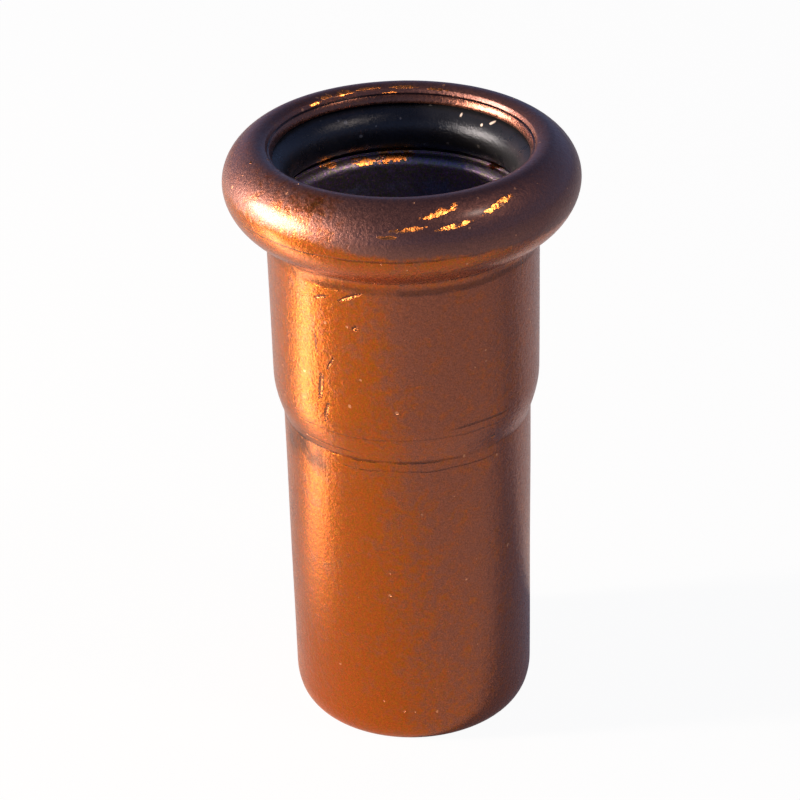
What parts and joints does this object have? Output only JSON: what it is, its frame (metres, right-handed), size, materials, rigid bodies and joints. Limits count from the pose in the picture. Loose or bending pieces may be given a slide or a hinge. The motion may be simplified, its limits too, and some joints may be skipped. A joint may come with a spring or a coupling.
{
  "type": "reducing nipple",
  "caption": "Copper reducing nipple for press-fit tube: a plain spigot at one end, a short taper, and a beaded socket with a rubber sealing ring at the other.",
  "frame": {"origin": "centre of the spigot's flat end, on the fitting's axis", "axes": "+Z along the fitting's axis, from the spigot's end to the socket's mouth; X and Y are any pair across it"},
  "size_m": [0.0222, 0.0222, 0.0401],
  "materials": {
    "copper": "satin",
    "black_rubber": "satin"
  },
  "bodies": {
    "root": {"fitting_body": "copper", "sealing_ring": "black_rubber"}
  },
  "joints": []
}
